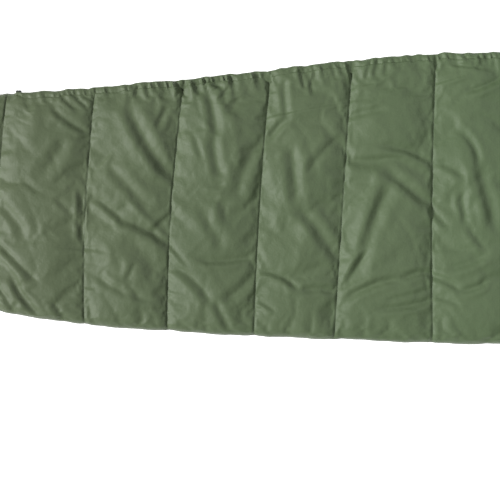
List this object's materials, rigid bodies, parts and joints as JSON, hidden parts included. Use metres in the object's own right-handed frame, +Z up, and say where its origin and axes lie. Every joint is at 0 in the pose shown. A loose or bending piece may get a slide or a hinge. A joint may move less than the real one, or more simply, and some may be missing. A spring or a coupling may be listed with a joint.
{
  "type": "bivy sack",
  "caption": "Quilted, lightly insulated bivy sack lying flat, with a tapered foot, a side zip, a cover that folds back and a half-moon hood.",
  "frame": {"origin": "on the ground under the middle of the sack's length and width", "axes": "+X from the foot to the head, +Y towards the side with the zip, +Z up from the ground"},
  "size_m": [2.2465, 0.75, 0.0597],
  "materials": {
    "shell_fabric": "olive polyester taffeta with a soft satin sheen",
    "liner_fabric": "dark olive brushed polyester",
    "synthetic_filling": "white polyester wadding",
    "sewing_thread": "olive twisted polyester thread",
    "binding_tape": "dark olive grosgrain",
    "zip_tape": "black woven polyester tape",
    "zip_coil": "black moulded polyester coil",
    "zip_stop": "pale crimped metal",
    "slider_metal": "black enamelled zinc",
    "eyelet_metal": "dark enamelled brass",
    "webbing": "dark woven polyester webbing"
  },
  "bodies": {
    "sack": {"lower_shell": "shell_fabric", "lower_batt": "synthetic_filling", "lower_liner": "liner_fabric", "lower_quilting_thread": "sewing_thread", "foot_wall": "shell_fabric", "far_side_wall": "shell_fabric", "near_side_wall": "shell_fabric", "upper_liner_fixed": "liner_fabric", "upper_batt_fixed": "synthetic_filling", "upper_shell_fixed": "shell_fabric", "upper_quilting_thread_fixed": "sewing_thread", "mouth_binding_fixed": "binding_tape", "lower_zip_tape": "zip_tape", "lower_zip_coil": "zip_coil", "zip_bottom_stop": "zip_stop", "zip_top_stop_lower": "zip_stop"},
    "cover": {"upper_liner_cover": "liner_fabric", "upper_batt_cover": "synthetic_filling", "upper_shell_cover": "shell_fabric", "upper_quilting_thread_cover": "sewing_thread", "mouth_binding_cover": "binding_tape", "zip_storm_flap": "shell_fabric", "upper_zip_tape": "zip_tape", "upper_zip_coil": "zip_coil", "zip_top_stop_upper": "zip_stop", "anti_snag_tape": "binding_tape", "draft_tube": "liner_fabric"},
    "slider": {"slider_body": "slider_metal"},
    "outer_pull": {"outer_pull": "slider_metal"},
    "inner_pull": {"inner_pull": "slider_metal"},
    "hood": {"hood_shell": "shell_fabric", "hood_batt": "synthetic_filling", "hood_liner": "liner_fabric", "hood_quilting_thread": "sewing_thread", "hood_hem_channel": "shell_fabric", "hood_eyelets": "eyelet_metal"},
    "foot_loop_left": {"foot_loop_left": "webbing"},
    "foot_loop_right": {"foot_loop_right": "webbing"}
  },
  "joints": [
    {"name": "cover_fold", "type": "hinge", "parent": "sack", "child": "cover", "pos_m": [-0.678, 0.28588, 0.06], "axis": [0.9378, -0.3471, 0], "range_deg": [0, 160]},
    {"name": "zip_slide", "type": "slide", "parent": "sack", "child": "slider", "axis": [0.9975, 0.0711, 0], "range_m": [-1.4351, 0]},
    {"name": "outer_pull_swing", "type": "hinge", "parent": "slider", "child": "outer_pull", "pos_m": [0.7527, 0.36718, 0.03], "axis": [0, 0, -1], "range_deg": [0, 170]},
    {"name": "inner_pull_swing", "type": "hinge", "parent": "slider", "child": "inner_pull", "pos_m": [0.75376, 0.35242, 0.03], "axis": [0, 0, 1], "range_deg": [0, 170]},
    {"name": "hood_fold", "type": "hinge", "parent": "sack", "child": "hood", "pos_m": [0.8005, 0, 0.0226], "axis": [0, -1, 0], "range_deg": [0, 80]},
    {"name": "foot_loop_left_swing", "type": "hinge", "parent": "sack", "child": "foot_loop_left", "pos_m": [-1.1015, -0.11, 0.03], "axis": [0, 1, 0], "range_deg": [-30, 90]},
    {"name": "foot_loop_right_swing", "type": "hinge", "parent": "sack", "child": "foot_loop_right", "pos_m": [-1.1015, 0.11, 0.03], "axis": [0, 1, 0], "range_deg": [-30, 90]}
  ]
}
